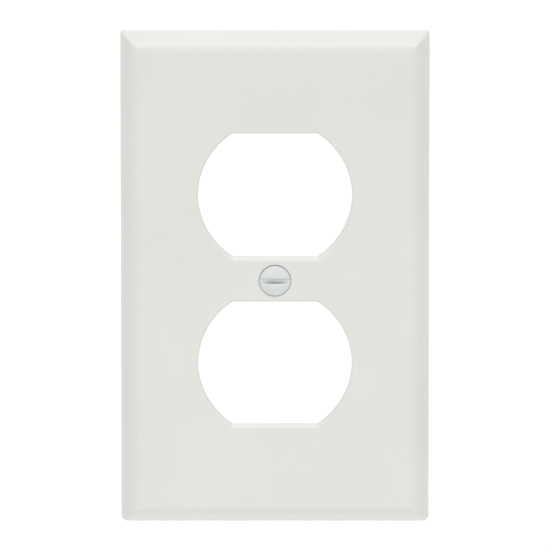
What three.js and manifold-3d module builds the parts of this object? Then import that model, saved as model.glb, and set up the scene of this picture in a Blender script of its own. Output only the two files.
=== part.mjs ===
// Cover plate for a duplex wall outlet, with the screw that fastens it. Millimetres.
//
// Both pieces are built lying face up: x runs across the plate, y runs up it, and z is the
// height off the wall. The group is then turned upright, so in the finished part +Z is up,
// the room is towards -Y and the wall is the plane y = 0. The origin is on the screw's axis.
import * as THREE from 'three';
import { mergeVertices } from 'three/addons/utils/BufferGeometryUtils.js';
import Module from 'manifold-3d';

// Plate: a standard one-gang cover.
const PLATE_WIDTH = 69.85;
const PLATE_HEIGHT = 114.3;
const PLATE_THICKNESS = 5.6;
const PLAN_CORNER_RADIUS = 1.4;

// Rim: a short side land at the wall, a flat bevel, and a round blend into the face.
const LAND_HEIGHT = 1.5;
const LAND_DRAFT = 0.3;
const BEVEL_ANGLE = THREE.MathUtils.degToRad(56.5);
const BLEND_RADIUS = 3.2;
const BLEND_STEPS = 6;

// Hollow back.
const WEB_THICKNESS = 2.4;
const RECESS_DEPTH = PLATE_THICKNESS - WEB_THICKNESS;
const RECESS_INSET_AT_WALL = 2.0;
const RECESS_INSET_AT_WEB = 3.6;

// Openings: each is a circle cut off by two flats.
const OPENING_RADIUS = 17.35;
const OPENING_HALF_HEIGHT = 14.475;
const OPENING_SPACING = 38.9;
const OPENING_EDGE_RADIUS = 0.6;
const OPENING_EDGE_STEPS = 3;
const OPENING_ARC_STEPS = 22;

// Stiffening behind the web: a collar round each opening, a boss at the screw, and ribs.
const COLLAR_WALL = 1.4;
const COLLAR_BACK = 1.6;
const BOSS_RADIUS = 3.9;
const RIB_THICKNESS = 1.2;
const RIB_BACK = 1.8;
const LONG_RIB_X = 24;
const RIB_BITE = 0.3;

// Screw: #6-32 slotted oval head, half an inch long under the rim of its head.
const ROUND_STEPS = 48;
const THREAD_STEPS = 20;
const HEAD_RADIUS = 3.45;
const HEAD_RIM = 0.15;
const HEAD_CROWN = 0.95;
const HEAD_STEPS = 6;
const CONE_HALF_ANGLE = THREE.MathUtils.degToRad(41);
const SLOT_WIDTH = 1.2;
const SLOT_DEPTH = 1.05;
const SCREW_LENGTH = 12.7;
const THREAD_PITCH = 25.4 / 32;
const THREAD_MAJOR_RADIUS = 1.7525;
const THREAD_MINOR_RADIUS = 1.266;
const TIP_CHAMFER = 0.5;

// Screw hole in the plate: a countersink over a clearance hole.
const COUNTERSINK_RADIUS = 3.8;
const HOLE_RADIUS = 2.1;

// How far a cutter runs past the face that it cuts through.
const OVERRUN = 1;

const wasm = await Module();
wasm.setup();

function toSolid(geometry) {
  const bare = geometry.clone();
  bare.deleteAttribute('normal');
  bare.deleteAttribute('uv');
  const merged = mergeVertices(bare, 1e-4);
  return new wasm.Manifold(new wasm.Mesh({
    numProp: 3,
    vertProperties: new Float32Array(merged.attributes.position.array),
    triVerts: new Uint32Array(merged.index.array),
  }));
}

function toGeometry(solid) {
  const mesh = solid.getMesh();
  const geometry = new THREE.BufferGeometry();
  geometry.setAttribute('position', new THREE.BufferAttribute(mesh.vertProperties, 3));
  geometry.setIndex(new THREE.BufferAttribute(mesh.triVerts, 1));
  geometry.computeVertexNormals();
  return geometry;
}

// Solid through a stack of outlines, lowest first. Every outline runs anticlockwise and has
// the same number of points.
function loft(layers) {
  const count = layers[0].outline.length;
  const last = (layers.length - 1) * count;
  const positions = layers.flatMap(({ outline, z }) => outline.flatMap((p) => [p.x, p.y, z]));
  const triangles = [];
  for (let start = 0; start < last; start += count) {
    for (let i = 0; i < count; i++) {
      const here = start + i;
      const next = start + ((i + 1) % count);
      triangles.push(here, next, next + count, here, next + count, here + count);
    }
  }
  for (const [a, b, c] of THREE.ShapeUtils.triangulateShape(layers[0].outline, [])) {
    triangles.push(c, b, a, last + a, last + b, last + c);
  }
  const geometry = new THREE.BufferGeometry();
  geometry.setAttribute('position', new THREE.Float32BufferAttribute(positions, 3));
  geometry.setIndex(triangles);
  return toSolid(geometry);
}

// Solid of revolution about z, from [radius, z] points that start and end on the axis.
function turned(profile, steps) {
  const points = profile.map(([radius, z]) => new THREE.Vector2(radius, z));
  return toSolid(new THREE.LatheGeometry(points, steps).rotateX(Math.PI / 2));
}

function prism(outline, bottom, top) {
  const shape = new THREE.Shape(outline);
  const geometry = new THREE.ExtrudeGeometry(shape, { depth: top - bottom, bevelEnabled: false });
  return toSolid(geometry.translate(0, 0, bottom));
}

function bar(left, right, low, high, bottom, top) {
  const geometry = new THREE.BoxGeometry(right - left, high - low, top - bottom);
  return toSolid(geometry.translate((left + right) / 2, (low + high) / 2, (bottom + top) / 2));
}

// The plate's plan outline, moved in by inset, with square corners.
function plateRectangle(inset) {
  const x = PLATE_WIDTH / 2 - inset;
  const y = PLATE_HEIGHT / 2 - inset;
  return [[-x, -y], [x, -y], [x, y], [-x, y]].map(([px, py]) => new THREE.Vector2(px, py));
}

// Solid whose four sides all follow one profile of { inset, z } points and meet in mitres.
function mitred(profile) {
  return loft(profile.map(({ inset, z }) => ({ outline: plateRectangle(inset), z })));
}

function rimProfile() {
  const corner = LAND_DRAFT + (PLATE_THICKNESS - LAND_HEIGHT) / Math.tan(BEVEL_ANGLE);
  const centreInset = corner + BLEND_RADIUS * Math.tan(BEVEL_ANGLE / 2);
  const centreZ = PLATE_THICKNESS - BLEND_RADIUS;
  const profile = [{ inset: 0, z: 0 }, { inset: LAND_DRAFT, z: LAND_HEIGHT }];
  for (let i = 0; i <= BLEND_STEPS; i++) {
    const tilt = BEVEL_ANGLE * (1 - i / BLEND_STEPS);
    profile.push({
      inset: centreInset - BLEND_RADIUS * Math.sin(tilt),
      z: centreZ + BLEND_RADIUS * Math.cos(tilt),
    });
  }
  return profile;
}

function roundedPlan() {
  const x = PLATE_WIDTH / 2 - PLAN_CORNER_RADIUS;
  const y = PLATE_HEIGHT / 2 - PLAN_CORNER_RADIUS;
  const shape = new THREE.Shape();
  shape.absarc(x, y, PLAN_CORNER_RADIUS, 0, Math.PI / 2);
  shape.absarc(-x, y, PLAN_CORNER_RADIUS, Math.PI / 2, Math.PI);
  shape.absarc(-x, -y, PLAN_CORNER_RADIUS, Math.PI, 1.5 * Math.PI);
  shape.absarc(x, -y, PLAN_CORNER_RADIUS, 1.5 * Math.PI, 2 * Math.PI);
  shape.closePath();
  return shape.getPoints(6).slice(0, -1);
}

// One opening's outline centred at height y on the plate, grown outwards by grow.
function openingOutline(y, grow) {
  const radius = OPENING_RADIUS + grow;
  const reach = Math.asin((OPENING_HALF_HEIGHT + grow) / radius);
  const outline = [];
  for (const facing of [0, Math.PI]) {
    for (let i = 0; i <= OPENING_ARC_STEPS; i++) {
      const angle = facing + reach * (2 * i / OPENING_ARC_STEPS - 1);
      outline.push(new THREE.Vector2(radius * Math.cos(angle), y + radius * Math.sin(angle)));
    }
  }
  return outline;
}

// Cutter for one opening. It flares at the face, which leaves the opening a rounded edge.
function openingCutter(y) {
  const layers = [{ outline: openingOutline(y, 0), z: -OVERRUN }];
  for (let i = 0; i <= OPENING_EDGE_STEPS; i++) {
    const angle = (Math.PI / 2) * (i / OPENING_EDGE_STEPS);
    layers.push({
      outline: openingOutline(y, OPENING_EDGE_RADIUS * (1 - Math.cos(angle))),
      z: PLATE_THICKNESS - OPENING_EDGE_RADIUS * (1 - Math.sin(angle)),
    });
  }
  layers.push({ outline: openingOutline(y, OPENING_EDGE_RADIUS), z: PLATE_THICKNESS + OVERRUN });
  return loft(layers);
}

function screwHoleCutter() {
  const slope = Math.tan(CONE_HALF_ANGLE);
  const coneBottom = PLATE_THICKNESS - (COUNTERSINK_RADIUS - HOLE_RADIUS) / slope;
  return turned([
    [0, -OVERRUN],
    [HOLE_RADIUS, -OVERRUN],
    [HOLE_RADIUS, coneBottom],
    [COUNTERSINK_RADIUS, PLATE_THICKNESS],
    [COUNTERSINK_RADIUS, PLATE_THICKNESS + OVERRUN],
    [0, PLATE_THICKNESS + OVERRUN],
  ], ROUND_STEPS);
}

// Ribs behind the web: two long ones, and short ones that tie them to the collars and boss.
function ribs() {
  const top = RECESS_DEPTH + RIB_BITE;
  const half = RIB_THICKNESS / 2;
  const longEnd = PLATE_HEIGHT / 2 - RECESS_INSET_AT_WALL - RIB_BITE;
  const solids = [];
  for (const side of [-1, 1]) {
    const x = side * LONG_RIB_X;
    solids.push(bar(x - half, x + half, -longEnd, longEnd, RIB_BACK, top));
    for (const [y, reach] of [
      [-OPENING_SPACING / 2, OPENING_RADIUS + COLLAR_WALL],
      [0, BOSS_RADIUS],
      [OPENING_SPACING / 2, OPENING_RADIUS + COLLAR_WALL],
    ]) {
      const ends = [side * (reach - RIB_BITE), x].sort((a, b) => a - b);
      solids.push(bar(ends[0], ends[1], y - half, y + half, RIB_BACK, top));
    }
  }
  return solids;
}

function buildFaceplate() {
  let plate = mitred(rimProfile());
  plate = plate.intersect(prism(roundedPlan(), -OVERRUN, PLATE_THICKNESS + OVERRUN));
  plate = plate.subtract(mitred([
    { inset: RECESS_INSET_AT_WALL, z: 0 },
    { inset: RECESS_INSET_AT_WEB, z: RECESS_DEPTH },
  ]));

  const webBite = RECESS_DEPTH + RIB_BITE;
  const centres = [-OPENING_SPACING / 2, OPENING_SPACING / 2];
  for (const y of centres) {
    plate = plate.add(prism(openingOutline(y, COLLAR_WALL), COLLAR_BACK, webBite));
  }
  plate = plate.add(turned([
    [0, COLLAR_BACK],
    [BOSS_RADIUS, COLLAR_BACK],
    [BOSS_RADIUS, webBite],
    [0, webBite],
  ], ROUND_STEPS));
  for (const rib of ribs()) {
    plate = plate.add(rib);
  }

  for (const y of centres) {
    plate = plate.subtract(openingCutter(y));
  }
  return toGeometry(plate.subtract(screwHoleCutter()));
}

// Right-hand thread, left rough and over-long at both ends for trimming. Each turn has four
// rings of points: the crest's two edges, then the root's two edges.
function threadBlank(bottom, top) {
  const rings = [
    [0, THREAD_MAJOR_RADIUS],
    [1 / 8, THREAD_MAJOR_RADIUS],
    [7 / 16, THREAD_MINOR_RADIUS],
    [11 / 16, THREAD_MINOR_RADIUS],
  ];
  const perTurn = rings.length;
  const start = bottom - 2 * THREAD_PITCH;
  const rows = perTurn * Math.ceil((top - start) / THREAD_PITCH + 1) + 1;
  const width = THREAD_STEPS + 1;
  const positions = [];
  for (let row = 0; row < rows; row++) {
    const [fraction, radius] = rings[row % perTurn];
    for (let column = 0; column < width; column++) {
      const turn = column / THREAD_STEPS;
      const z = start + THREAD_PITCH * (Math.floor(row / perTurn) + fraction + turn);
      const angle = 2 * Math.PI * turn;
      positions.push(radius * Math.cos(angle), radius * Math.sin(angle), z);
    }
  }

  const triangles = [];
  for (let row = 0; row < rows - 1; row++) {
    for (let column = 0; column < THREAD_STEPS; column++) {
      const here = row * width + column;
      const above = here + width;
      triangles.push(here, here + 1, above + 1, here, above + 1, above);
    }
  }

  // Each end is closed by a fan from a point on the axis, round the last turn and down its step.
  const lowLoop = [];
  const highLoop = [];
  for (let column = 0; column < width; column++) {
    lowLoop.push(THREAD_STEPS - column);
    highLoop.push((rows - 1) * width + column);
  }
  for (let step = 1; step <= perTurn; step++) {
    lowLoop.push(step * width);
    highLoop.push((rows - step) * width - 1);
  }
  const ends = [[lowLoop, start - THREAD_PITCH], [highLoop, top + 3 * THREAD_PITCH]];
  for (const [loop, z] of ends) {
    const tip = positions.length / 3;
    positions.push(0, 0, z);
    for (let i = 0; i < loop.length - 1; i++) {
      triangles.push(tip, loop[i], loop[i + 1]);
    }
  }

  const geometry = new THREE.BufferGeometry();
  geometry.setAttribute('position', new THREE.Float32BufferAttribute(positions, 3));
  geometry.setIndex(triangles);
  return toSolid(geometry);
}

function buildScrew() {
  const rimTop = PLATE_THICKNESS;
  const coneTop = rimTop - HEAD_RIM;
  const coneBottom = coneTop - (HEAD_RADIUS - THREAD_MAJOR_RADIUS) / Math.tan(CONE_HALF_ANGLE);
  const tip = rimTop - SCREW_LENGTH;

  const profile = [
    [0, coneBottom - THREAD_PITCH],
    [THREAD_MINOR_RADIUS, coneBottom - THREAD_PITCH],
    [THREAD_MAJOR_RADIUS, coneBottom],
    [HEAD_RADIUS, coneTop],
  ];
  const domeRadius = (HEAD_RADIUS ** 2 + HEAD_CROWN ** 2) / (2 * HEAD_CROWN);
  const domeCentre = rimTop + HEAD_CROWN - domeRadius;
  const domeEdge = Math.asin(HEAD_RADIUS / domeRadius);
  for (let i = 0; i < HEAD_STEPS; i++) {
    const angle = domeEdge * (1 - i / HEAD_STEPS);
    profile.push([domeRadius * Math.sin(angle), domeCentre + domeRadius * Math.cos(angle)]);
  }
  profile.push([0, rimTop + HEAD_CROWN]);

  const slotFloor = rimTop + HEAD_CROWN - SLOT_DEPTH;
  const slotEnd = HEAD_RADIUS + OVERRUN;
  const slotTop = rimTop + HEAD_CROWN + OVERRUN;
  const slot = bar(-slotEnd, slotEnd, -SLOT_WIDTH / 2, SLOT_WIDTH / 2, slotFloor, slotTop);

  const threadTop = coneBottom + HEAD_RIM;
  const trim = turned([
    [0, tip],
    [THREAD_MAJOR_RADIUS - TIP_CHAMFER, tip],
    [THREAD_MAJOR_RADIUS + OVERRUN, tip + TIP_CHAMFER + OVERRUN],
    [THREAD_MAJOR_RADIUS + OVERRUN, threadTop],
    [0, threadTop],
  ], ROUND_STEPS);
  const thread = threadBlank(tip, threadTop).intersect(trim);
  return toGeometry(turned(profile, ROUND_STEPS).subtract(slot).add(thread));
}

function piece(name, geometry, material) {
  const mesh = new THREE.Mesh(geometry, material);
  mesh.name = name;
  return mesh;
}

const duplexPlate = new THREE.Group();
duplexPlate.name = 'duplex_wall_plate';
duplexPlate.rotation.x = Math.PI / 2;
duplexPlate.add(
  piece('faceplate', buildFaceplate(), new THREE.MeshStandardMaterial({
    color: 0xe9eae5,
    roughness: 0.32,
    metalness: 0,
  })),
  piece('mounting_screw', buildScrew(), new THREE.MeshStandardMaterial({
    color: 0xe2e6e4,
    roughness: 0.25,
    metalness: 0,
  })),
);

export default duplexPlate;
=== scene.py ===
import math

import bmesh
import bpy
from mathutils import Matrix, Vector


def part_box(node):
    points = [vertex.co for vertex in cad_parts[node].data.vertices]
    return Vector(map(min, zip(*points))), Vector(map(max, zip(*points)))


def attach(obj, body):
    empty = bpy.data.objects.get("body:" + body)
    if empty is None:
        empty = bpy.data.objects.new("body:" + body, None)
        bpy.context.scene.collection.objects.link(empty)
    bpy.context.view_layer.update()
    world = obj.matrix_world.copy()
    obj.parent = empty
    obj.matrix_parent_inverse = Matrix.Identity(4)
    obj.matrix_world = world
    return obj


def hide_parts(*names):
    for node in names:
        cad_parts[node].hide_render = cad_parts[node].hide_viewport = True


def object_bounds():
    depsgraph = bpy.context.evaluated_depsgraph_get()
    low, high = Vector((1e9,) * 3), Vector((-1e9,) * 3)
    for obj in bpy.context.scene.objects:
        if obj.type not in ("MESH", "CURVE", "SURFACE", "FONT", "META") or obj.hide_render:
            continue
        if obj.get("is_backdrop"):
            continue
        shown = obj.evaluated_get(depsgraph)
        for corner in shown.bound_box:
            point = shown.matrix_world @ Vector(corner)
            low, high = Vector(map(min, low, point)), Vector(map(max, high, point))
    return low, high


# A duplex outlet wall plate and its screw. Shapes are worked out in millimetres with the plate
# lying face up: x runs across it, y runs up it and z is the height off the wall. upright() turns
# a finished shape into the frame, where +Z is up and the wall is the plane y = 0.

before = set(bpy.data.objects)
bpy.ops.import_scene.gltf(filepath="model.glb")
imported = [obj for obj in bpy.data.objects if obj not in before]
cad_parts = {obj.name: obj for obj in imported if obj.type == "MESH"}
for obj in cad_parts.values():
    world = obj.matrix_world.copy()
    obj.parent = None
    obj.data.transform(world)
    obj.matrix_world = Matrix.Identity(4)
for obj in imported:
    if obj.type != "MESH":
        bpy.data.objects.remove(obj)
CAD_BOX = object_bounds()
METRES_PER_MM = 0.001

# Plate: a standard one-gang cover.
PLATE_WIDTH = 69.85
PLATE_HEIGHT = 114.3
PLATE_THICKNESS = 5.6
PLAN_CORNER_RADIUS = 1.4
MITRE_RADIUS = 0.45

# Rim: a short side land at the wall, a flat bevel, and a round blend into the face.
LAND_HEIGHT = 1.5
LAND_DRAFT = 0.3
BEVEL_ANGLE = math.radians(56.5)
BLEND_RADIUS = 3.2
LAND_EDGE_RADIUS = 0.3
BACK_EDGE_RADIUS = 0.15

# Hollow back.
RECESS_DEPTH = 3.2
RECESS_INSET_AT_WALL = 2.0
RECESS_INSET_AT_WEB = 3.6
RECESS_CORNER_RADIUS = 0.8
RECESS_FILLET = 0.6

# Openings: each is a circle cut off by two flats.
OPENING_RADIUS = 17.35
OPENING_HALF_HEIGHT = 14.475
OPENING_SPACING = 38.9
OPENING_EDGE_RADIUS = 0.6
OPENING_BACK_RADIUS = 0.2
OPENING_CENTRES = (-OPENING_SPACING / 2, OPENING_SPACING / 2)

# Stiffening behind the web: a collar round each opening, a boss at the screw, and ribs.
COLLAR_WALL = 1.4
COLLAR_BACK = 1.6
BOSS_RADIUS = 3.9
RIB_THICKNESS = 1.2
RIB_BACK = 1.8
LONG_RIB_X = 24
BITE = 0.3
MOULDED_EDGE_RADIUS = 0.25
MOULDED_FILLET = 0.4
EDGE_LEAD = 0.1
SHARPEST_CORNER = 0.02

# Round marks that the mould's ejector pins leave in the back of the web.
EJECTOR_RADIUS = 1.3
EJECTOR_DEPTH = 0.08
EJECTOR_X = (12.0, 28.0)
EJECTOR_Y = (45.0, 38.0)

# Screw hole in the plate: a countersink over a clearance hole.
COUNTERSINK_RADIUS = 3.8
HOLE_RADIUS = 2.1
COUNTERSINK_EDGE_RADIUS = 0.15
CONE_HALF_ANGLE = math.radians(41)

# Screw: #6-32 slotted oval head, half an inch long under the rim of its head.
HEAD_RADIUS = 3.45
HEAD_RIM = 0.15
HEAD_CROWN = 0.95
HEAD_EDGE_RADIUS = 0.08
SLOT_HALF_WIDTH = 0.6
SLOT_DRAFT = 0.05
SLOT_DEPTH = 1.05
SLOT_LIP_RADIUS = 0.36
SLOT_CORNER_RADIUS = 0.1
SCREW_LENGTH = 12.7
THREAD_PITCH = 25.4 / 32
THREAD_MAJOR_RADIUS = 1.7525
THREAD_MINOR_RADIUS = 1.266
THREAD_CREST_RADIUS = 0.05
THREAD_ROOT_RADIUS = 0.1
TIP_CHAMFER = 0.5
SHANK_RUNOUT = 0.6
CORE_INSET = 0.2

# How finely curves are divided, and how far a cutter runs past the face that it cuts through.
DEGREES_PER_STEP = 9
THREAD_DEGREES_PER_STEP = 21
MITRE_STEPS = 10
OPENING_ARC_STEPS = 56
ROUND_STEPS = 96
THREAD_STEPS = 48
HEAD_STEPS_ACROSS = 28
HEAD_STEPS_OUTWARDS = 14
HEAD_EDGE_STEPS = 4
SMOOTH_BELOW = math.radians(28)
OVERRUN = 1.0
WELD_DISTANCE = 0.0015
RIM_TOLERANCE = 0.0001


# ---------------------------------------------------------------- profiles and rings

def rounded(corners, degrees_per_step=DEGREES_PER_STEP):
    """Points (u, v) along a path of (u, v, radius) corners, each inner corner rounded off."""
    path = [Vector(corner[:2]) for corner in corners]
    points = [path[0]]
    for before, here, after, (_, _, radius) in zip(path, path[1:], path[2:], corners[1:-1]):
        if radius == 0:
            points.append(here)
            continue
        back, on = (before - here).normalized(), (after - here).normalized()
        inner_angle = back.angle(on)
        centre = here + (back + on).normalized() * (radius / math.sin(inner_angle / 2))
        reach = radius / math.tan(inner_angle / 2)
        start = here + back * reach - centre
        turn = (here + on * reach - centre).angle_signed(start)
        steps = max(3, round(math.degrees(abs(turn)) / degrees_per_step))
        for step in range(steps + 1):
            angle = turn * step / steps
            cos, sin = math.cos(angle), math.sin(angle)
            points.append(centre + Vector((start.x * cos - start.y * sin,
                                           start.x * sin + start.y * cos)))
    points.append(path[-1])
    return [tuple(point) for point in points]


def cutter_profile(corners):
    """A rounded path whose first and last points are led straight out past the plate."""
    path = rounded(corners)
    path[0] = (path[1][0], -OVERRUN)
    path[-1] = (path[-2][0], PLATE_THICKNESS + OVERRUN)
    return path


def proud_profile(back):
    """(grow, z) path of something that stands behind the web, from its back into the web."""
    path = rounded([
        (-MOULDED_EDGE_RADIUS - EDGE_LEAD, back, 0),
        (0, back, MOULDED_EDGE_RADIUS),
        (0, RECESS_DEPTH, MOULDED_FILLET),
        (MOULDED_FILLET * 2, RECESS_DEPTH, 0),
    ])
    path[-1] = (path[-2][0], RECESS_DEPTH + BITE)
    return path


def rectangle_ring(half_x, half_y, radius, z, centre=(0, 0)):
    """Anticlockwise ring of a rectangle with rounded corners."""
    ring = []
    for quarter, (sx, sy) in enumerate(((1, 1), (-1, 1), (-1, -1), (1, -1))):
        for step in range(MITRE_STEPS + 1):
            angle = math.pi / 2 * (quarter + step / MITRE_STEPS)
            ring.append((centre[0] + sx * (half_x - radius) + radius * math.cos(angle),
                         centre[1] + sy * (half_y - radius) + radius * math.sin(angle), z))
    return ring


def plate_ring(inset, z, corner_radius=PLAN_CORNER_RADIUS):
    """Ring of the plate's outline moved in by inset. Its corners tighten as it moves in."""
    radius = max(corner_radius - max(inset, 0), MITRE_RADIUS)
    return rectangle_ring(PLATE_WIDTH / 2 - inset, PLATE_HEIGHT / 2 - inset, radius, z)


def opening_ring(centre_y, grow, z):
    """Ring of one opening's outline, grown outwards by grow."""
    radius = OPENING_RADIUS + grow
    reach = math.asin((OPENING_HALF_HEIGHT + grow) / radius)
    ring = []
    for facing in (0, math.pi):
        for step in range(OPENING_ARC_STEPS + 1):
            angle = facing + reach * (2 * step / OPENING_ARC_STEPS - 1)
            ring.append((radius * math.cos(angle), centre_y + radius * math.sin(angle), z))
    return ring


def circle_ring(radius, z, centre=(0, 0)):
    angles = [2 * math.pi * step / ROUND_STEPS for step in range(ROUND_STEPS)]
    return [(centre[0] + radius * math.cos(a), centre[1] + radius * math.sin(a), z)
            for a in angles]


# ---------------------------------------------------------------- solids

def bridge(start, count):
    """Quads between the ring of points at start and the ring that follows it."""
    return [(start + i, start + (i + 1) % count, start + count + (i + 1) % count,
             start + count + i) for i in range(count)]


def loft(rings):
    """Closed solid (points, faces) through rings of equal length, lowest first."""
    count = len(rings[0])
    points = [point for ring in rings for point in ring]
    faces = [face for k in range(len(rings) - 1) for face in bridge(k * count, count)]
    faces.append(tuple(range(count))[::-1])
    faces.append(tuple(range(len(points) - count, len(points))))
    return points, faces


def turned(profile, centre=(0, 0)):
    """Solid of revolution about z from (radius, z) points, lowest first."""
    return loft([circle_ring(radius, z, centre) for radius, z in profile])


def upright(points):
    return [Vector((x, -z, y)) * METRES_PER_MM for x, y, z in points]


def to_object(name, solid):
    points, faces = solid
    mesh = bpy.data.meshes.new(name)
    mesh.from_pydata(upright(points), [], faces)
    made = bpy.data.objects.new(name, mesh)
    bpy.context.scene.collection.objects.link(made)
    return made


def combine(target, solid, operation):
    """Joins a solid to the target object's mesh, cuts it out, or keeps what they share."""
    tool = to_object("tool", solid)
    boolean = target.modifiers.new("combine", "BOOLEAN")
    boolean.solver = "EXACT"
    boolean.operation = operation
    boolean.object = tool
    bake_modifiers(target)
    bpy.data.meshes.remove(tool.data)


def bake_modifiers(target):
    """Puts the target's modifiers into its mesh."""
    graph = bpy.context.evaluated_depsgraph_get()
    before = target.data
    target.data = bpy.data.meshes.new_from_object(target.evaluated_get(graph), depsgraph=graph)
    target.modifiers.clear()
    bpy.data.meshes.remove(before)
    target.data.name = target.name


def weld(target):
    """Closes the hairline edges and faces that joining and cutting leave behind."""
    shape = bmesh.new()
    shape.from_mesh(target.data)
    distance = WELD_DISTANCE * METRES_PER_MM
    bmesh.ops.remove_doubles(shape, verts=shape.verts, dist=distance)
    bmesh.ops.dissolve_degenerate(shape, edges=shape.edges, dist=distance)
    shape.to_mesh(target.data)
    shape.free()


def smooth(target):
    """Smooth shading that keeps flat faces flat and true edges sharp."""
    target.data.shade_smooth()
    target.data.set_sharp_from_angle(angle=SMOOTH_BELOW)
    weighted = target.modifiers.new("weighted", "WEIGHTED_NORMAL")
    weighted.keep_sharp = True
    bake_modifiers(target)


# ---------------------------------------------------------------- faceplate

def rim_solid():
    bevel_top = LAND_DRAFT + (PLATE_THICKNESS - LAND_HEIGHT) / math.tan(BEVEL_ANGLE)
    profile = rounded([
        (BACK_EDGE_RADIUS * 3, 0, 0),
        (0, 0, BACK_EDGE_RADIUS),
        (LAND_DRAFT, LAND_HEIGHT, LAND_EDGE_RADIUS),
        (bevel_top, PLATE_THICKNESS, BLEND_RADIUS),
        (bevel_top + BLEND_RADIUS, PLATE_THICKNESS, 0),
    ])
    return loft([plate_ring(inset, z) for inset, z in profile])


def recess_solid():
    profile = rounded([
        (RECESS_INSET_AT_WALL - OVERRUN, 0, 0),
        (RECESS_INSET_AT_WALL, 0, BACK_EDGE_RADIUS),
        (RECESS_INSET_AT_WEB, RECESS_DEPTH, RECESS_FILLET),
        (RECESS_INSET_AT_WEB + OVERRUN, RECESS_DEPTH, 0),
    ])
    profile[0] = (profile[1][0], -OVERRUN)
    outline = RECESS_INSET_AT_WALL + RECESS_CORNER_RADIUS
    return loft([plate_ring(inset, z, outline) for inset, z in profile])


def opening_solid(centre_y):
    profile = cutter_profile([
        (OVERRUN, COLLAR_BACK, 0),
        (0, COLLAR_BACK, OPENING_BACK_RADIUS),
        (0, PLATE_THICKNESS, OPENING_EDGE_RADIUS),
        (OVERRUN, PLATE_THICKNESS, 0),
    ])
    return loft([opening_ring(centre_y, grow, z) for grow, z in profile])


def screw_hole_solid():
    cone_bottom = PLATE_THICKNESS - (COUNTERSINK_RADIUS - HOLE_RADIUS) / math.tan(CONE_HALF_ANGLE)
    return turned(cutter_profile([
        (HOLE_RADIUS + OVERRUN, COLLAR_BACK, 0),
        (HOLE_RADIUS, COLLAR_BACK, OPENING_BACK_RADIUS),
        (HOLE_RADIUS, cone_bottom, OPENING_BACK_RADIUS),
        (COUNTERSINK_RADIUS, PLATE_THICKNESS, COUNTERSINK_EDGE_RADIUS),
        (COUNTERSINK_RADIUS + OVERRUN, PLATE_THICKNESS, 0),
    ]))


def bar_solid(centre, half_x, half_y):
    """A rib with rounded edges and a fillet where it meets the web."""
    return loft([
        rectangle_ring(half_x + grow, half_y + grow,
                       max(MOULDED_EDGE_RADIUS + grow, SHARPEST_CORNER), z, centre)
        for grow, z in proud_profile(RIB_BACK)
    ])


def rib_solids():
    """Two long ribs, and short ones that tie them to the collars and the boss."""
    half = RIB_THICKNESS / 2
    long_half = PLATE_HEIGHT / 2 - RECESS_INSET_AT_WALL - BITE
    collar_reach = OPENING_RADIUS + COLLAR_WALL
    ties = [(OPENING_CENTRES[0], collar_reach), (0, BOSS_RADIUS), (OPENING_CENTRES[1], collar_reach)]
    for side in (-1, 1):
        yield bar_solid((side * LONG_RIB_X, 0), half, long_half)
        for y, reach in ties:
            near = reach - BITE
            middle = side * (near + LONG_RIB_X) / 2
            yield bar_solid((middle, y), (LONG_RIB_X - near) / 2, half)


def ejector_solid(x, y):
    return turned([(EJECTOR_RADIUS, RECESS_DEPTH - OVERRUN / 2),
                   (EJECTOR_RADIUS, RECESS_DEPTH + EJECTOR_DEPTH)], (x, y))


def build_faceplate():
    plate = to_object("wall_plate", rim_solid())
    combine(plate, recess_solid(), "DIFFERENCE")
    for y in OPENING_CENTRES:
        collar = [opening_ring(y, COLLAR_WALL + grow, z) for grow, z in proud_profile(COLLAR_BACK)]
        combine(plate, loft(collar), "UNION")
    boss = turned([(BOSS_RADIUS + grow, z) for grow, z in proud_profile(COLLAR_BACK)])
    combine(plate, boss, "UNION")
    for rib in rib_solids():
        combine(plate, rib, "UNION")
    for y in OPENING_CENTRES:
        combine(plate, opening_solid(y), "DIFFERENCE")
    combine(plate, screw_hole_solid(), "DIFFERENCE")
    for x, y in zip(EJECTOR_X, EJECTOR_Y):
        for side_x in (-1, 1):
            for side_y in (-1, 1):
                combine(plate, ejector_solid(side_x * x, side_y * y), "DIFFERENCE")
    weld(plate)
    smooth(plate)
    return plate


# ---------------------------------------------------------------- screw

DOME_RADIUS = (HEAD_RADIUS ** 2 + HEAD_CROWN ** 2) / (2 * HEAD_CROWN)
CROWN_TOP = PLATE_THICKNESS + HEAD_CROWN
SLOT_FLOOR = CROWN_TOP - SLOT_DEPTH
TOP_RADIUS = HEAD_RADIUS - HEAD_EDGE_RADIUS
MIDDLE_BLOCK_SHARE = 0.45
CONE_TOP = PLATE_THICKNESS - HEAD_RIM
CONE_BOTTOM = CONE_TOP - (HEAD_RADIUS - THREAD_MAJOR_RADIUS) / math.tan(CONE_HALF_ANGLE)


def dome(x, y):
    """Height of the head's crown, before the slot is cut."""
    return CROWN_TOP - DOME_RADIUS + math.sqrt(DOME_RADIUS ** 2 - x * x - y * y)


def slot_section():
    """(y, depth) points across the slot, from the crown down one wall, over the floor and up
    the other. Depth runs from 0 at the crown to 1 at the slot's floor."""
    lip, corner, wall = SLOT_LIP_RADIUS, SLOT_CORNER_RADIUS, SLOT_HALF_WIDTH
    half = rounded([
        (wall + 2 * lip, 0, 0),
        (wall, 0, lip),
        (wall - SLOT_DRAFT, SLOT_DEPTH, corner),
        (0, SLOT_DEPTH, 0),
    ])[1:]
    half = [(y, depth / SLOT_DEPTH) for y, depth in half]
    return [(-y, depth) for y, depth in half] + half[-2::-1]


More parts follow.
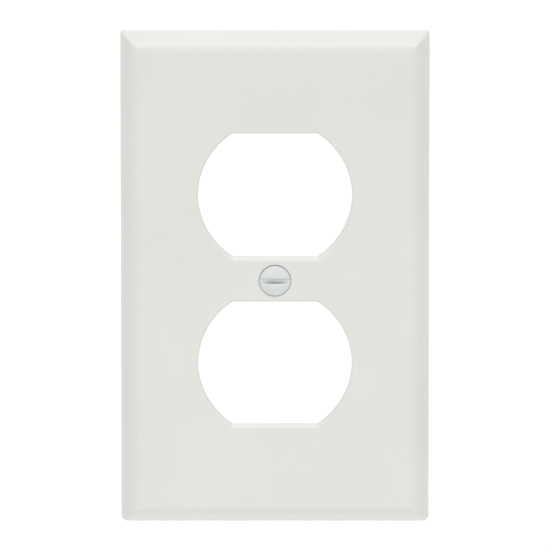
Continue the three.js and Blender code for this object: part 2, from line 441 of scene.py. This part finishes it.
def head_top():
    """Grid of the head's top with its slot: a list of blocks, each a list of rows of points. The
    slot's block runs right across, and one block above it and one below fill the circle."""
    section = slot_section()
    edge_y = section[-1][0]
    edge_x = math.sqrt(TOP_RADIUS ** 2 - edge_y ** 2)
    inner_x = edge_x * MIDDLE_BLOCK_SHARE
    across, outwards = range(HEAD_STEPS_ACROSS + 1), range(HEAD_STEPS_OUTWARDS + 1)
    chord = [inner_x * (2 * i / HEAD_STEPS_ACROSS - 1) for i in across]
    arc_end = math.atan2(edge_y, edge_x)
    arc = [math.pi - arc_end - (math.pi - 2 * arc_end) * i / HEAD_STEPS_ACROSS for i in across]

    def at(x, y, depth=0.0):
        return x, y, dome(x, y) * (1 - depth) + SLOT_FLOOR * depth

    slot_block = []
    for y, depth in section:
        end = math.sqrt(TOP_RADIUS ** 2 - y * y)
        flank = [inner_x + (end - inner_x) * i / HEAD_STEPS_OUTWARDS for i in outwards[1:]]
        xs = [-x for x in reversed(flank)] + chord + flank
        slot_block.append([at(x, y, depth) for x in xs])

    blocks = [slot_block]
    for side in (1, -1):
        block = []
        for i in outwards:
            part = i / HEAD_STEPS_OUTWARDS
            block.append([
                at(x + (TOP_RADIUS * math.cos(a) - x) * part,
                   side * (edge_y + (TOP_RADIUS * math.sin(a) - edge_y) * part))
                for x, a in zip(chord, arc)
            ])
        blocks.append(block if side > 0 else block[::-1])
    return blocks


def welded(blocks):
    """Points and quads of grids that meet at shared points, with the shared points made one."""
    points, faces, known = [], [], {}

    def index(point):
        key = tuple(round(c, 5) for c in point)
        if key not in known:
            known[key] = len(points)
            points.append(point)
        return known[key]

    for block in blocks:
        grid = [[index(point) for point in row] for row in block]
        for low, high in zip(grid, grid[1:]):
            faces += [(a, b, c, d) for a, b, c, d in zip(low, low[1:], high[1:], high)]
    return points, faces


def head_outline(points):
    """Indices and angles of the points round the edge of the head's top, anticlockwise."""
    angles = {i: math.atan2(y, x) for i, (x, y, _) in enumerate(points)
              if math.hypot(x, y) > TOP_RADIUS - RIM_TOLERANCE}
    loop = sorted(angles, key=angles.get)
    return loop, [angles[i] for i in loop]


def rolled_edge(heights, angles):
    """Rings that roll the top's edge over. The dips that the slot leaves in it close up a
    little from ring to ring."""
    rim_z = dome(TOP_RADIUS, 0)
    rings = []
    for step in range(1, HEAD_EDGE_STEPS + 1):
        roll = math.pi / 2 * step / HEAD_EDGE_STEPS
        radius = TOP_RADIUS + HEAD_EDGE_RADIUS * math.sin(roll)
        drop = HEAD_EDGE_RADIUS * (1 - math.cos(roll))
        rings.append([(radius * math.cos(a), radius * math.sin(a),
                       SLOT_FLOOR + (z - SLOT_FLOOR) * (rim_z - drop - SLOT_FLOOR)
                       / (rim_z - SLOT_FLOOR)) for z, a in zip(heights, angles)])
    return rings


def side_and_cone(angles):
    """Rings down the head's side and cone, ending in a core that is buried in the thread."""
    profile = rounded([
        (HEAD_RADIUS, PLATE_THICKNESS, 0),
        (HEAD_RADIUS, CONE_TOP, HEAD_EDGE_RADIUS),
        (THREAD_MAJOR_RADIUS, CONE_BOTTOM, MOULDED_EDGE_RADIUS),
        (THREAD_MINOR_RADIUS, CONE_BOTTOM - SHANK_RUNOUT, 0),
    ])[1:]
    core_end = CONE_BOTTOM - SHANK_RUNOUT - THREAD_PITCH
    profile.append((THREAD_MINOR_RADIUS - CORE_INSET, core_end))
    return [[(radius * math.cos(a), radius * math.sin(a), z) for a in angles]
            for radius, z in profile]


def head_solid():
    """The head, its cone, and a core that ends inside the thread."""
    points, faces = welded(head_top())
    loop, angles = head_outline(points)
    rings = rolled_edge([points[i][2] for i in loop], angles) + side_and_cone(angles)
    count, start = len(loop), len(points)
    points += [point for ring in rings for point in ring]
    for i in range(count):
        j = (i + 1) % count
        faces.append((loop[i], start + i, start + j, loop[j]))
    for k in range(len(rings) - 1):
        faces += [face[::-1] for face in bridge(start + k * count, count)]
    faces.append(tuple(range(len(points) - count, len(points)))[::-1])
    return points, faces


def thread_rings():
    """(share of a pitch, radius) points of one turn of the thread, from root to root. Its
    crest is an eighth of a pitch wide, and its root a quarter."""
    root, crest = THREAD_MINOR_RADIUS, THREAD_MAJOR_RADIUS
    marks = [(0, root, 0), (1 / 8, root, THREAD_ROOT_RADIUS), (7 / 16, crest, THREAD_CREST_RADIUS),
             (9 / 16, crest, THREAD_CREST_RADIUS), (7 / 8, root, THREAD_ROOT_RADIUS), (1, root, 0)]
    path = rounded([(share * THREAD_PITCH, radius, r) for share, radius, r in marks],
                   THREAD_DEGREES_PER_STEP)
    return [(z / THREAD_PITCH, radius) for z, radius in path[:-1]]


def thread_solid(bottom, top):
    """Right-hand thread, left rough and over-long at both ends for trimming. Rows climb a pitch
    in a turn, so the seam joins each row to the one a pitch above it."""
    turn_rows = thread_rings()
    per_turn = len(turn_rows)
    start = bottom - 2 * THREAD_PITCH
    last = per_turn * math.ceil((top - start) / THREAD_PITCH)
    width = THREAD_STEPS

    def point(row, column):
        share, radius = turn_rows[row % per_turn]
        turn = column / width
        z = start + THREAD_PITCH * (row // per_turn + share + turn)
        angle = 2 * math.pi * turn
        return radius * math.cos(angle), radius * math.sin(angle), z

    points = [point(row, column) for row in range(last + 1) for column in range(width)]
    points += [point(last + step, 0) for step in range(1, per_turn + 1)]

    def at(row, column):
        """A point's index. The column past the last is the first, a pitch further up."""
        if column == width:
            row, column = row + per_turn, 0
        past = max(row - last, 0)
        return min(row, last) * width + column + (width - 1 + past if past else 0)

    faces = [(at(row, i), at(row, i + 1), at(row + 1, i + 1), at(row + 1, i))
             for row in range(last) for i in range(width)]
    low = [at(0, i) for i in range(width)] + [at(k, 0) for k in range(per_turn, 0, -1)]
    high = [at(last, i) for i in range(width)] + [at(last + k, 0) for k in range(per_turn, 0, -1)]
    for loop, z, order in ((low, start - THREAD_PITCH, -1), (high, top + 3 * THREAD_PITCH, 1)):
        tip = len(points)
        points.append((0, 0, z))
        for a, b in zip(loop, loop[1:] + loop[:1]):
            faces.append((tip, a, b)[::order])
    return points, faces


def build_screw():
    tip = PLATE_THICKNESS - SCREW_LENGTH
    thread_top = CONE_BOTTOM + HEAD_RIM
    screw = to_object("screw", thread_solid(tip, thread_top))
    wide = THREAD_MAJOR_RADIUS + OVERRUN
    trim = turned([
        (THREAD_MAJOR_RADIUS - TIP_CHAMFER, tip),
        (wide, tip + TIP_CHAMFER + OVERRUN),
        (wide, thread_top),
    ])
    combine(screw, trim, "INTERSECT")
    combine(screw, head_solid(), "UNION")
    weld(screw)
    smooth(screw)
    return screw


# ---------------------------------------------------------------- materials

OPAQUE = 1.0
PLASTIC_PALE = (0.842, 0.846, 0.802, OPAQUE)
PLASTIC_DEEP = (0.818, 0.823, 0.778, OPAQUE)
PLASTIC_RUBBED = (0.86, 0.862, 0.83, OPAQUE)
PLASTIC_ROUGHNESS = (0.42, 0.48)
PLASTIC_IOR = 1.49
ENAMEL_PALE = (0.79, 0.818, 0.806, OPAQUE)
ENAMEL_DEEP = (0.765, 0.795, 0.785, OPAQUE)
ENAMEL_EDGE = (0.6, 0.62, 0.615, OPAQUE)
# Painted shade for the slot's corners and the cone under the head.
ENAMEL_PAINTED_SHADE = (0.42, 0.44, 0.44, OPAQUE)
ENAMEL_ROUGHNESS = (0.2, 0.27)
ZINC_DARK = (0.56, 0.58, 0.6, OPAQUE)
ZINC_BRIGHT = (0.68, 0.69, 0.69, OPAQUE)
ZINC_ROUGHNESS = (0.3, 0.46)
FLOOR_DARK = (0.85, 0.85, 0.85, OPAQUE)
FLOOR_BRIGHT = (0.87, 0.87, 0.87, OPAQUE)
FLOOR_ROUGHNESS = 0.9

# Noise textures' scales, in features per metre. Their values lie mostly within NOISE.
CLOUD_SCALE = 38.0
MOTTLE_SCALE = 900.0
GRAIN_SCALE = 2600.0
PEEL_SCALE = 1400.0
SPECK_SCALE = 5200.0
FLOOR_SCALE = 3.0
NOISE = (0.3, 0.7)
FULL = (0.0, 1.0)

# In millimetres: how deep the enamel reaches below the plate's face, and how wide it is worn
# round the head.
PAINT_DEPTH = 1.0
ENAMEL_EDGE_WIDTH = 0.16

# In metres: how far in from the plate's outline its polish reaches, how deep below the crown and
# how far from the middle of the slot the painted shade darkens the enamel, and how sharply the
# enamel ends.
RUBBED_FROM, RUBBED_TO = 0.0002, 0.0011
SHADE_DEPTH_FROM, SHADE_DEPTH_TO = 0.0003, 0.001
SHADE_SLOT_MIDDLE, SHADE_SLOT_CORNER = 0.0003, 0.00055
PAINT_FADE = 0.0001


class Nodes:
    """Adds shader nodes to a material or world and links them as they are made."""

    def __init__(self, owner, shader):
        owner.use_nodes = True
        self.owner = owner
        self.tree = owner.node_tree
        self.shader = self.tree.nodes[shader]

    def add(self, kind, inputs=(), **settings):
        node = self.tree.nodes.new(kind)
        for name, value in settings.items():
            setattr(node, name, value)
        for socket, value in dict(inputs).items():
            self.feed(node.inputs[socket], value)
        return node

    def feed(self, socket, value):
        if isinstance(value, bpy.types.NodeSocket):
            self.tree.links.new(value, socket)
        else:
            socket.default_value = value

    def coordinates(self, space):
        """A point's coordinates: the vector, and then x, y and z."""
        where = self.add("ShaderNodeTexCoord").outputs[space]
        return where, *self.add("ShaderNodeSeparateXYZ", {0: where}).outputs[:3]

    def maths(self, operation, a, b=0.0):
        return self.add("ShaderNodeMath", {0: a, 1: b}, operation=operation).outputs[0]

    def noise(self, where, scale, detail=2.0, roughness=0.5):
        return self.add("ShaderNodeTexNoise", {
            "Vector": where, "Scale": scale, "Detail": detail, "Roughness": roughness,
        }).outputs["Fac"]

    def mapped(self, value, low, high, to_low, to_high):
        return self.add("ShaderNodeMapRange", {
            "Value": value, "From Min": low, "From Max": high, "To Min": to_low, "To Max": to_high,
        }, interpolation_type="SMOOTHSTEP").outputs["Result"]

    def mixed(self, share, a, b):
        mix = self.add("ShaderNodeMix", data_type="RGBA")
        self.feed(mix.inputs["Factor"], share)
        self.feed(mix.inputs["A"], a)
        self.feed(mix.inputs["B"], b)
        return mix.outputs["Result"]

    def bump(self, height, strength, distance, under=None):
        inputs = {"Height": height, "Strength": strength, "Distance": distance}
        if under is not None:
            inputs["Normal"] = under
        return self.add("ShaderNodeBump", inputs).outputs["Normal"]


def surface(name):
    return Nodes(bpy.data.materials.new(name), "Principled BSDF")


def plate_plastic():
    """Warm white moulded plastic: satin, faintly mottled, polished along its outer edge."""
    m = surface("plate_plastic")
    where, x, _, z = m.coordinates("Object")
    cloud = m.noise(where, CLOUD_SCALE)
    mottle = m.noise(where, MOTTLE_SCALE, detail=3.0)
    grain = m.noise(where, GRAIN_SCALE, roughness=0.6)

    from_side = m.maths("SUBTRACT", PLATE_WIDTH / 2 * METRES_PER_MM, m.maths("ABSOLUTE", x))
    from_end = m.maths("SUBTRACT", PLATE_HEIGHT / 2 * METRES_PER_MM, m.maths("ABSOLUTE", z))
    from_rim = m.maths("MINIMUM", from_side, from_end)
    ragged = m.maths("ADD", from_rim, m.mapped(mottle, *NOISE, -0.0001, 0.0001))
    rubbed = m.mapped(ragged, RUBBED_FROM, RUBBED_TO, 1.0, 0.0)

    colour = m.mixed(m.mapped(cloud, *NOISE, *FULL), PLASTIC_DEEP, PLASTIC_PALE)
    colour = m.mixed(m.mapped(mottle, 0.35, 0.75, 0.0, 0.25), colour, PLASTIC_PALE)
    colour = m.mixed(m.maths("MULTIPLY", rubbed, 0.3), colour, PLASTIC_RUBBED)
    m.feed(m.shader.inputs["Base Color"], colour)

    satin = m.mapped(cloud, *NOISE, *PLASTIC_ROUGHNESS)
    satin = m.maths("ADD", satin, m.mapped(grain, *NOISE, -0.02, 0.02))
    satin = m.maths("SUBTRACT", satin, m.maths("MULTIPLY", rubbed, 0.07))
    m.feed(m.shader.inputs["Roughness"], satin)
    soft = m.bump(cloud, 0.25, 0.0001)
    m.feed(m.shader.inputs["Normal"], m.bump(grain, 0.12, 0.00001, soft))
    m.shader.inputs["IOR"].default_value = PLASTIC_IOR
    return m.owner


def painted_slot_shade(m, radius_squared, y, z):
    """Mask of painted shade in the slot's corners: deep below the crown, and beside the slot's
    middle. That takes in the cone under the head too."""
    dome_squared = (DOME_RADIUS * METRES_PER_MM) ** 2
    over_centre = m.maths("SQRT", m.maths("SUBTRACT", dome_squared, radius_squared))
    crown = m.maths("ADD", over_centre, (CROWN_TOP - DOME_RADIUS) * METRES_PER_MM)
    deep = m.mapped(m.maths("ADD", crown, y), SHADE_DEPTH_FROM, SHADE_DEPTH_TO, *FULL)
    beside_middle = m.mapped(m.maths("ABSOLUTE", z), SHADE_SLOT_MIDDLE, SHADE_SLOT_CORNER, *FULL)
    return m.maths("MULTIPLY", deep, beside_middle)


def screw_enamel():
    """White enamel on the head, thinner along its edges, with painted shade in the slot's corners
    and on the cone under the head, over the zinc-plated steel of the thread."""
    m = surface("screw_enamel")
    where, x, y, z = m.coordinates("Object")
    peel = m.noise(where, PEEL_SCALE)
    specks = m.noise(where, SPECK_SCALE, detail=3.0, roughness=0.6)

    radius_squared = m.maths("ADD", m.maths("MULTIPLY", x, x), m.maths("MULTIPLY", z, z))
    worn_radius = m.maths("ADD", m.maths("SQRT", radius_squared),
                          m.mapped(specks, *NOISE, -0.00006, 0.00006))
    edge_start = (HEAD_RADIUS - ENAMEL_EDGE_WIDTH) * METRES_PER_MM
    edge = m.mapped(worn_radius, edge_start, HEAD_RADIUS * METRES_PER_MM, *FULL)

    paint_end = -(PLATE_THICKNESS - PAINT_DEPTH) * METRES_PER_MM
    ragged = m.maths("ADD", y, m.mapped(peel, *NOISE, -0.0002, 0.0002))
    bare = m.mapped(ragged, paint_end - PAINT_FADE, paint_end + PAINT_FADE, *FULL)
    painted = m.maths("SUBTRACT", 1.0, bare)

    enamel = m.mixed(m.mapped(peel, *NOISE, *FULL), ENAMEL_DEEP, ENAMEL_PALE)
    enamel = m.mixed(m.maths("MULTIPLY", edge, 0.35), enamel, ENAMEL_EDGE)
    # Painted shade: the enamel is darkened in the slot's corners and on the cone under the head.
    enamel = m.mixed(painted_slot_shade(m, radius_squared, y, z), enamel, ENAMEL_PAINTED_SHADE)
    zinc = m.mixed(m.mapped(specks, *NOISE, *FULL), ZINC_DARK, ZINC_BRIGHT)
    m.feed(m.shader.inputs["Base Color"], m.mixed(bare, enamel, zinc))
    m.feed(m.shader.inputs["Metallic"], bare)

    glossy = m.maths("MULTIPLY", m.mapped(peel, *NOISE, *ENAMEL_ROUGHNESS), painted)
    plated = m.maths("MULTIPLY", m.mapped(specks, *NOISE, *ZINC_ROUGHNESS), bare)
    m.feed(m.shader.inputs["Roughness"], m.maths("ADD", glossy, plated))
    soft = m.bump(peel, 0.3, 0.00004)
    m.feed(m.shader.inputs["Normal"], m.bump(specks, 0.15, 0.000008, soft))
    return m.owner


def floor_paint():
    """Plain pale studio floor."""
    m = surface("studio_floor")
    where = m.add("ShaderNodeTexCoord").outputs["Object"]
    tone = m.mapped(m.noise(where, FLOOR_SCALE), *NOISE, *FULL)
    m.feed(m.shader.inputs["Base Color"], m.mixed(tone, FLOOR_DARK, FLOOR_BRIGHT))
    m.shader.inputs["Roughness"].default_value = FLOOR_ROUGHNESS
    return m.owner


# ---------------------------------------------------------------- studio

CAMERA_PITCH = math.radians(13)
CAMERA_DISTANCE = 3.0
CAMERA_NEAR, CAMERA_FAR = 0.1, 20.0
SENSOR_WIDTH = 36.0
PLATE_SHARE_OF_FRAME = 0.905
FLOOR_DROP = 0.2
FLOOR_RADIUS = 3.0

# Radiance of the room, by direction. It runs smoothly from one direction to the next.
ROOM_FRONT = 0.47
ROOM_BACK = 0.5
ROOM_SIDES = 0.79
ROOM_ABOVE = 0.77
ROOM_BELOW = 0.9

# A soft lamp overhead, a little in front of the plate.
OVERHEAD_PLACE = (0.0, -0.4, 0.85)
OVERHEAD_SIZE = (0.8, 0.4)
OVERHEAD_WATTS = 3.0

# A small card low in front, which fills the shade under the bevel.
FRONT_CARD_PLACE = (0.0, -0.4, -0.17)
FRONT_CARD_SIZE = (0.4, 0.12)
FRONT_CARD_WATTS = 0.2

# A lamp that whitens the floor behind. It is turned away from the plate's back.
BACKDROP_PLACE = (0.0, 1.2, 0.9)
BACKDROP_TARGET = (0.0, 1.65, -0.25)
BACKDROP_SIZE = (1.6, 1.0)
BACKDROP_WATTS = 12.0


def build_room():
    """Surrounding light: a pale room, brightest overhead and at the sides."""
    room = Nodes(bpy.data.worlds.new("studio"), "Background")

    def level(axis, below_zero, above_zero):
        """A direction's share of the light from one axis, which differs at its two ends."""
        up = room.maths("GREATER_THAN", axis, 0.0)
        value = room.maths("ADD", below_zero, room.maths("MULTIPLY", up, above_zero - below_zero))
        return room.maths("MULTIPLY", room.maths("MULTIPLY", axis, axis), value)

    _, x, y, z = room.coordinates("Generated")
    total = room.maths("ADD", level(x, ROOM_SIDES, ROOM_SIDES), level(y, ROOM_FRONT, ROOM_BACK))
    total = room.maths("ADD", total, level(z, ROOM_BELOW, ROOM_ABOVE))
    room.feed(room.shader.inputs["Strength"], total)
    room.shader.inputs["Color"].default_value = (1.0, 1.0, 1.0, OPAQUE)
    bpy.context.scene.world = room.owner


def area_light(name, place, target, size, watts):
    data = bpy.data.lights.new(name, "AREA")
    data.shape = "RECTANGLE"
    data.size, data.size_y = size
    data.energy = watts
    light = bpy.data.objects.new(name, data)
    light.location = place
    light.rotation_euler = (Vector(target) - Vector(place)).to_track_quat("-Z", "Y").to_euler()
    light.visible_camera = False
    bpy.context.scene.collection.objects.link(light)


def build_floor(centre, lowest):
    mesh = bpy.data.meshes.new("studio_floor")
    mesh.from_pydata(circle_ring(FLOOR_RADIUS, 0.0), [], [tuple(range(ROUND_STEPS))])
    mesh.materials.append(floor_paint())
    floor = bpy.data.objects.new("studio_floor", mesh)
    floor.location = (centre.x, centre.y, lowest - FLOOR_DROP)
    bpy.context.scene.collection.objects.link(floor)
    floor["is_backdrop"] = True


def build_camera(centre, size):
    """A long lens looking slightly down at the plate's face."""
    seen_height = size.z * math.cos(CAMERA_PITCH) + size.y * math.sin(CAMERA_PITCH)
    data = bpy.data.cameras.new("camera")
    data.sensor_width = SENSOR_WIDTH
    data.lens = SENSOR_WIDTH * CAMERA_DISTANCE * PLATE_SHARE_OF_FRAME / seen_height
    data.clip_start, data.clip_end = CAMERA_NEAR, CAMERA_FAR
    camera = bpy.data.objects.new("camera", data)
    away = Vector((0.0, -math.cos(CAMERA_PITCH), math.sin(CAMERA_PITCH)))
    camera.location = centre + away * CAMERA_DISTANCE
    camera.rotation_euler = (-away).to_track_quat("-Z", "Y").to_euler()
    bpy.context.scene.collection.objects.link(camera)
    bpy.context.scene.camera = camera


def build_studio():
    low, high = CAD_BOX
    centre = (low + high) / 2
    plate_low, plate_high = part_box("faceplate")
    build_camera(centre, plate_high - plate_low)
    build_room()
    build_floor(centre, low.z)
    area_light("overhead", OVERHEAD_PLACE, centre, OVERHEAD_SIZE, OVERHEAD_WATTS)
    area_light("front_card", FRONT_CARD_PLACE, centre, FRONT_CARD_SIZE, FRONT_CARD_WATTS)
    area_light("backdrop", BACKDROP_PLACE, BACKDROP_TARGET, BACKDROP_SIZE, BACKDROP_WATTS)
    bpy.context.scene.view_settings.view_transform = "Standard"


# ---------------------------------------------------------------- assembly

def place(piece, material, body, slot, node):
    piece.data.materials.clear()
    piece.data.materials.append(material)
    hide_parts(node)
    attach(piece, body)


build_studio()
place(build_faceplate(), plate_plastic(), "plate", "plate_plastic", "faceplate")
place(build_screw(), screw_enamel(), "screw", "screw_enamel", "mounting_screw")

boxes = {"cad": CAD_BOX, "visual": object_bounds()}
{name: [list(corner) for corner in box] for name, box in boxes.items()}
